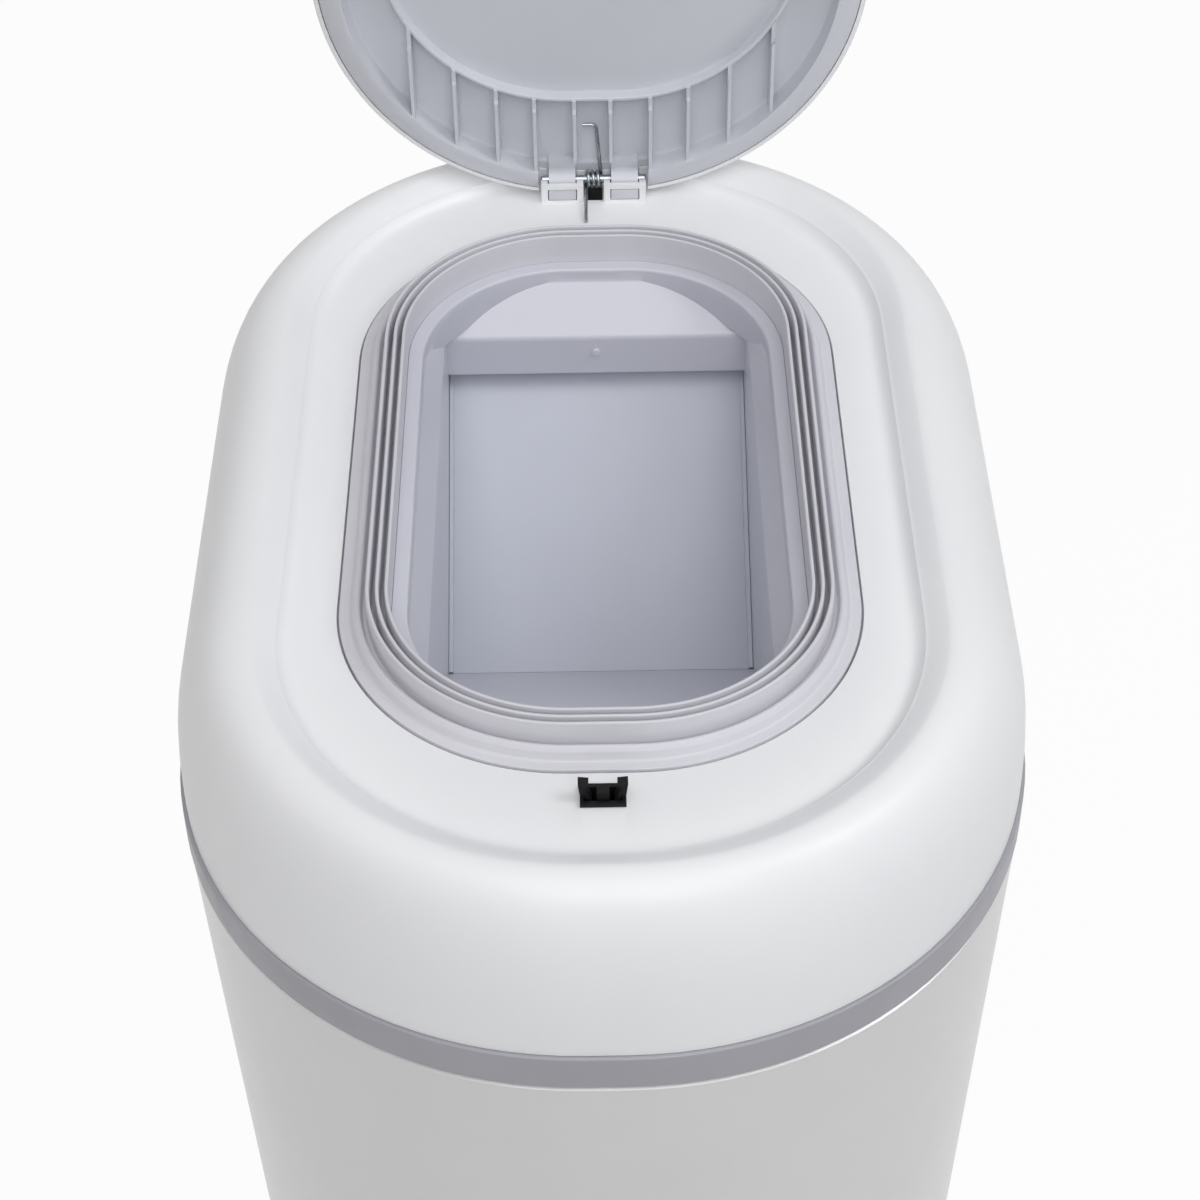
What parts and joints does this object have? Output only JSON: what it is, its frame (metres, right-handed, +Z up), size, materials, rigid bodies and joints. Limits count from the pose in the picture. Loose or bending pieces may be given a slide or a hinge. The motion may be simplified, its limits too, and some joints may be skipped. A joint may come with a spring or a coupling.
{
  "type": "nappy bin",
  "caption": "Tall oblong nappy bin with a lift-off cover, a soft-lipped throat, a tipping trap tray and a sprung lid with a push latch.",
  "frame": {"origin": "on the floor, under the middle of the bin", "axes": "+Z up, +Y to the rear where the lid is hinged, +X to the right of someone who faces the latch; the lid is stored open"},
  "size_m": [0.281, 0.4104, 0.9375],
  "materials": {
    "painted_steel": "pale warm-gray satin paint on sheet steel",
    "collar_plastic": "mid-gray moulded plastic",
    "foot_rubber": "black rubber pads",
    "white_plastic": "white moulded plastic with a fine satin surface",
    "liner_plastic": "light gray moulded plastic",
    "soft_seal": "light gray soft thermoplastic rubber",
    "tray_plastic": "smooth gray moulded plastic",
    "underside_plastic": "gray moulded plastic",
    "black_plastic": "black moulded nylon",
    "steel": "bright spring and pin steel"
  },
  "bodies": {
    "bin": {"body_shell": "painted_steel", "trim_band": "collar_plastic", "base_tray": "collar_plastic", "foot_1": "foot_rubber", "foot_2": "foot_rubber", "foot_3": "foot_rubber", "foot_4": "foot_rubber"},
    "cover": {"top_cover": "white_plastic", "throat_insert": "liner_plastic", "seal_ring": "soft_seal", "hinge_pin": "steel", "hinge_clip_left": "liner_plastic", "hinge_clip_right": "liner_plastic", "hinge_spring": "steel", "flap_pin": "steel", "flap_clip_left": "steel", "flap_clip_right": "steel", "flap_spring": "steel", "latch_housing": "black_plastic", "latch_spring": "steel"},
    "flap": {"flap_tray": "tray_plastic"},
    "plunger": {"latch_plunger": "black_plastic"},
    "left_jaw": {"jaw_left": "black_plastic"},
    "right_jaw": {"jaw_right": "black_plastic"},
    "lid": {"lid_panel": "underside_plastic", "lid_cover": "white_plastic", "lid_striker": "black_plastic"}
  },
  "joints": [
    {"name": "cover_lift", "type": "slide", "parent": "bin", "child": "cover", "axis": [0, 0, 1], "range_m": [0, 0.25]},
    {"name": "lid_hinge", "type": "hinge", "parent": "cover", "child": "lid", "pos_m": [0, 0.1675, 0.5965], "axis": [1, 0, 0], "range_deg": [0, 89], "stiffness_Nm_per_rad": 0.35, "springref_deg": -34.38, "deforming": ["hinge_spring"]},
    {"name": "flap_hinge", "type": "hinge", "parent": "cover", "child": "flap", "pos_m": [0, 0.114, 0.54], "axis": [1, 0, 0], "range_deg": [0, 55], "stiffness_Nm_per_rad": 0.15, "springref_deg": -45.84, "deforming": ["flap_spring"]},
    {"name": "latch_push", "type": "slide", "parent": "cover", "child": "plunger", "axis": [0, 0, -1], "range_m": [0, 0.0035], "stiffness_N_per_m": 300, "springref_m": -0.003, "deforming": ["latch_spring"]},
    {"name": "left_jaw_turn", "type": "hinge", "parent": "cover", "child": "left_jaw", "pos_m": [-0.0045, -0.1503, 0.583], "axis": [0, 1, 0], "range_deg": [0, 9]},
    {"name": "right_jaw_turn", "type": "hinge", "parent": "cover", "child": "right_jaw", "pos_m": [0.0045, -0.1503, 0.583], "axis": [0, -1, 0], "range_deg": [0, 9]}
  ],
  "couplings": [
    {"joint": "left_jaw_turn", "follows": "latch_push", "rad_per_m": 44.8},
    {"joint": "right_jaw_turn", "follows": "latch_push", "rad_per_m": 44.8}
  ]
}
